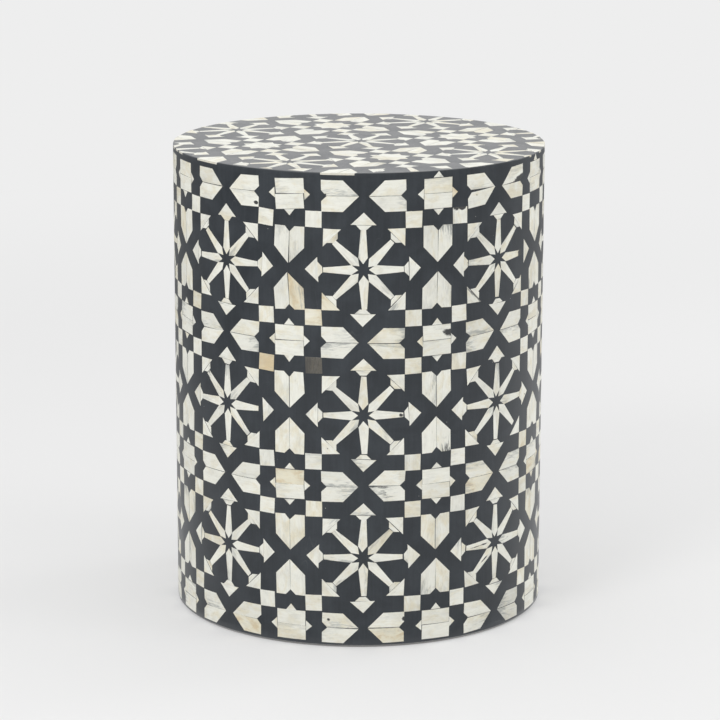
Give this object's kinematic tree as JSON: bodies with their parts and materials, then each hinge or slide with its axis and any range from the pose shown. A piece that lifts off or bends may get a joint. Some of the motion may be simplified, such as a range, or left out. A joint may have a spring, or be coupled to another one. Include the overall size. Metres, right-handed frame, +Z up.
{
  "type": "drum stool",
  "caption": "Closed cylindrical drum stool or side table, its side and top covered with bone slips in a star-and-shield pattern set in dark resin over a staved wooden drum.",
  "frame": {"origin": "middle of the drum's base, at floor level", "axes": "+Z up along the drum's axis; -Y is the front, faced by one column of stars; +X to the right seen from the front"},
  "size_m": [0.356, 0.356, 0.45],
  "materials": {
    "bone": "satin",
    "dark_resin": "satin",
    "stave_wood": "matte",
    "board_wood": "matte"
  },
  "bodies": {
    "root": {"base_board": "board_wood", "belt_1_corner_blocks": "bone", "belt_1_cross_shields": "bone", "belt_2_corner_blocks": "bone", "belt_2_cross_shields": "bone", "belt_3_corner_blocks": "bone", "belt_3_cross_shields": "bone", "belt_4_corner_blocks": "bone", "belt_4_cross_shields": "bone", "side_ground": "dark_resin", "star_row_1_arrow_heads": "bone", "star_row_1_spokes": "bone", "star_row_1_squares": "bone", "star_row_1_upright_shields": "bone", "star_row_2_arrow_heads": "bone", "star_row_2_spokes": "bone", "star_row_2_squares": "bone", "star_row_2_upright_shields": "bone", "star_row_3_arrow_heads": "bone", "star_row_3_spokes": "bone", "star_row_3_squares": "bone", "star_row_3_upright_shields": "bone", "top_arrow_heads": "bone", "top_board": "board_wood", "top_corner_blocks": "bone", "top_cross_shields": "bone", "top_ground": "dark_resin", "top_spokes": "bone", "top_squares": "bone", "top_upright_shields": "bone", "wall_staves": "stave_wood"}
  },
  "joints": []
}
